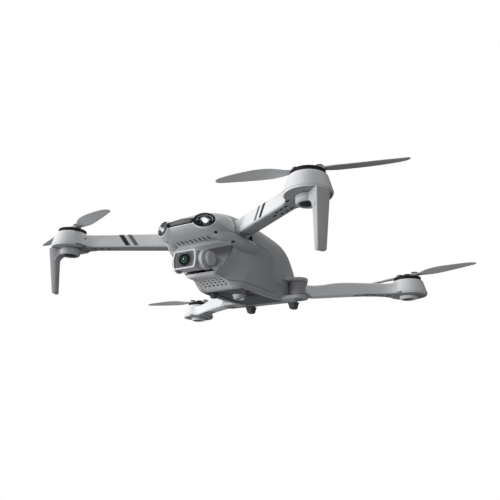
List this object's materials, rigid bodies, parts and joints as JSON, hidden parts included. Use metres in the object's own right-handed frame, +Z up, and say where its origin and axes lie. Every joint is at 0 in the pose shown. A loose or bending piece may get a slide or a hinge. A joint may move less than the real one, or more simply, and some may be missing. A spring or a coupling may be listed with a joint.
{
  "type": "folding camera quadcopter",
  "caption": "Folding camera quadcopter with a rounded two-tone hull, swing-out arms, folding propellers, tilting nose camera, front lamps, landing legs and a slide-in battery.",
  "frame": {"origin": "on the ground under the middle of the aircraft, midway between the front and rear rotors, arms unfolded", "axes": "+X to the aircraft's left, -Y toward the nose, +Z up"},
  "size_m": [0.3362, 0.2104, 0.0622],
  "materials": {
    "shell_light": "fine satin moulding",
    "shell_grey": "fine satin moulding",
    "cover_grey": "satin",
    "black_gloss": "polished",
    "black_matte": "matte",
    "foot_dark": "matte",
    "foot_rubber": "matte",
    "face_grey": "satin",
    "glass": "coated",
    "lamp": "clear",
    "metal": "turned",
    "board": "solder mask",
    "blade": "satin"
  },
  "bodies": {
    "airframe": {"upper_shell": "shell_light", "lower_shell": "shell_grey", "nose_light_bar": "black_gloss", "headlight_lens_L": "lamp", "headlight_lens_R": "lamp", "chin_vent_cover": "shell_light", "belly_heat_plate": "foot_dark", "belly_sensor_lens": "black_gloss", "foot_front_L": "foot_rubber", "foot_front_R": "foot_rubber", "foot_rear_L": "foot_rubber", "foot_rear_R": "foot_rubber", "main_circuit_board": "board", "gps_module": "face_grey", "camera_bracket": "shell_light", "tilt_motor_cover": "shell_light", "front_arm_pin_L": "metal", "front_arm_pin_R": "metal", "rear_arm_pin_L": "metal", "rear_arm_pin_R": "metal"},
    "battery": {"battery_pack": "shell_light"},
    "button": {"power_button": "face_grey"},
    "camera": {"camera_housing": "shell_light", "camera_bezel": "shell_light", "camera_face_plate": "face_grey", "camera_lens_barrel": "black_gloss", "camera_lens_glass": "glass"},
    "front_arm_body_L": {"front_arm_L": "shell_light", "front_arm_cover_L": "cover_grey", "front_motor_L": "metal", "front_leg_L": "shell_light"},
    "rear_arm_body_L": {"rear_arm_L": "shell_light", "rear_arm_cover_L": "cover_grey", "rear_motor_L": "metal", "rear_lamp_L": "foot_dark"},
    "front_rotor_L": {"front_prop_hub_L": "black_matte"},
    "front_blade_body_L_a": {"front_blade_L_a": "blade"},
    "front_blade_body_L_b": {"front_blade_L_b": "blade"},
    "rear_rotor_L": {"rear_prop_hub_L": "black_matte"},
    "rear_blade_body_L_a": {"rear_blade_L_a": "blade"},
    "rear_blade_body_L_b": {"rear_blade_L_b": "blade"},
    "front_arm_body_R": {"front_arm_R": "shell_light", "front_arm_cover_R": "cover_grey", "front_motor_R": "metal", "front_leg_R": "shell_light"},
    "rear_arm_body_R": {"rear_arm_R": "shell_light", "rear_arm_cover_R": "cover_grey", "rear_motor_R": "metal", "rear_lamp_R": "foot_dark"},
    "front_rotor_R": {"front_prop_hub_R": "black_matte"},
    "front_blade_body_R_a": {"front_blade_R_a": "blade"},
    "front_blade_body_R_b": {"front_blade_R_b": "blade"},
    "rear_rotor_R": {"rear_prop_hub_R": "black_matte"},
    "rear_blade_body_R_a": {"rear_blade_R_a": "blade"},
    "rear_blade_body_R_b": {"rear_blade_R_b": "blade"}
  },
  "joints": [
    {"name": "battery_slide", "type": "slide", "parent": "airframe", "child": "battery", "axis": [0, 1, 0], "range_m": [0, 0.055]},
    {"name": "power_button_press", "type": "slide", "parent": "airframe", "child": "button", "axis": [0, 0, -1], "range_m": [0, 0.0008]},
    {"name": "camera_tilt", "type": "hinge", "parent": "airframe", "child": "camera", "pos_m": [0, -0.0635, 0.016], "axis": [1, 0, 0], "range_deg": [-20, 90]},
    {"name": "front_arm_fold_L", "type": "hinge", "parent": "airframe", "child": "front_arm_body_L", "pos_m": [0.028, -0.043, 0.0416], "axis": [0, 0, 1], "range_deg": [0, 92]},
    {"name": "rear_arm_fold_L", "type": "hinge", "parent": "airframe", "child": "rear_arm_body_L", "pos_m": [0.034, 0.036, 0.013], "axis": [0, 0, -1], "range_deg": [0, 113]},
    {"name": "front_spin_L", "type": "hinge", "parent": "front_arm_body_L", "child": "front_rotor_L", "pos_m": [0.1059, -0.0863, 0.0528], "axis": [0, 0, 1], "continuous": true},
    {"name": "front_blade_fold_L_a", "type": "hinge", "parent": "front_rotor_L", "child": "front_blade_body_L_a", "pos_m": [0.11261, -0.0843, 0.0528], "axis": [0, 0, 1], "range_deg": [-90, 90]},
    {"name": "front_blade_fold_L_b", "type": "hinge", "parent": "front_rotor_L", "child": "front_blade_body_L_b", "pos_m": [0.09919, -0.0883, 0.0528], "axis": [0, 0, -1], "range_deg": [-90, 90]},
    {"name": "rear_spin_L", "type": "hinge", "parent": "rear_arm_body_L", "child": "rear_rotor_L", "pos_m": [0.1103, 0.0863, 0.0258], "axis": [0, 0, -1], "continuous": true},
    {"name": "rear_blade_fold_L_a", "type": "hinge", "parent": "rear_rotor_L", "child": "rear_blade_body_L_a", "pos_m": [0.11701, 0.0843, 0.0258], "axis": [0, 0, -1], "range_deg": [-90, 90]},
    {"name": "rear_blade_fold_L_b", "type": "hinge", "parent": "rear_rotor_L", "child": "rear_blade_body_L_b", "pos_m": [0.10359, 0.0883, 0.0258], "axis": [0, 0, 1], "range_deg": [-90, 90]},
    {"name": "front_arm_fold_R", "type": "hinge", "parent": "airframe", "child": "front_arm_body_R", "pos_m": [-0.028, -0.043, 0.0416], "axis": [0, 0, -1], "range_deg": [0, 92]},
    {"name": "rear_arm_fold_R", "type": "hinge", "parent": "airframe", "child": "rear_arm_body_R", "pos_m": [-0.034, 0.036, 0.013], "axis": [0, 0, 1], "range_deg": [0, 113]},
    {"name": "front_spin_R", "type": "hinge", "parent": "front_arm_body_R", "child": "front_rotor_R", "pos_m": [-0.1059, -0.0863, 0.0528], "axis": [0, 0, -1], "continuous": true},
    {"name": "front_blade_fold_R_a", "type": "hinge", "parent": "front_rotor_R", "child": "front_blade_body_R_a", "pos_m": [-0.11261, -0.0843, 0.0528], "axis": [0, 0, -1], "range_deg": [-90, 90]},
    {"name": "front_blade_fold_R_b", "type": "hinge", "parent": "front_rotor_R", "child": "front_blade_body_R_b", "pos_m": [-0.09919, -0.0883, 0.0528], "axis": [0, 0, 1], "range_deg": [-90, 90]},
    {"name": "rear_spin_R", "type": "hinge", "parent": "rear_arm_body_R", "child": "rear_rotor_R", "pos_m": [-0.1103, 0.0863, 0.0258], "axis": [0, 0, 1], "continuous": true},
    {"name": "rear_blade_fold_R_a", "type": "hinge", "parent": "rear_rotor_R", "child": "rear_blade_body_R_a", "pos_m": [-0.11701, 0.0843, 0.0258], "axis": [0, 0, 1], "range_deg": [-90, 90]},
    {"name": "rear_blade_fold_R_b", "type": "hinge", "parent": "rear_rotor_R", "child": "rear_blade_body_R_b", "pos_m": [-0.10359, 0.0883, 0.0258], "axis": [0, 0, -1], "range_deg": [-90, 90]}
  ]
}
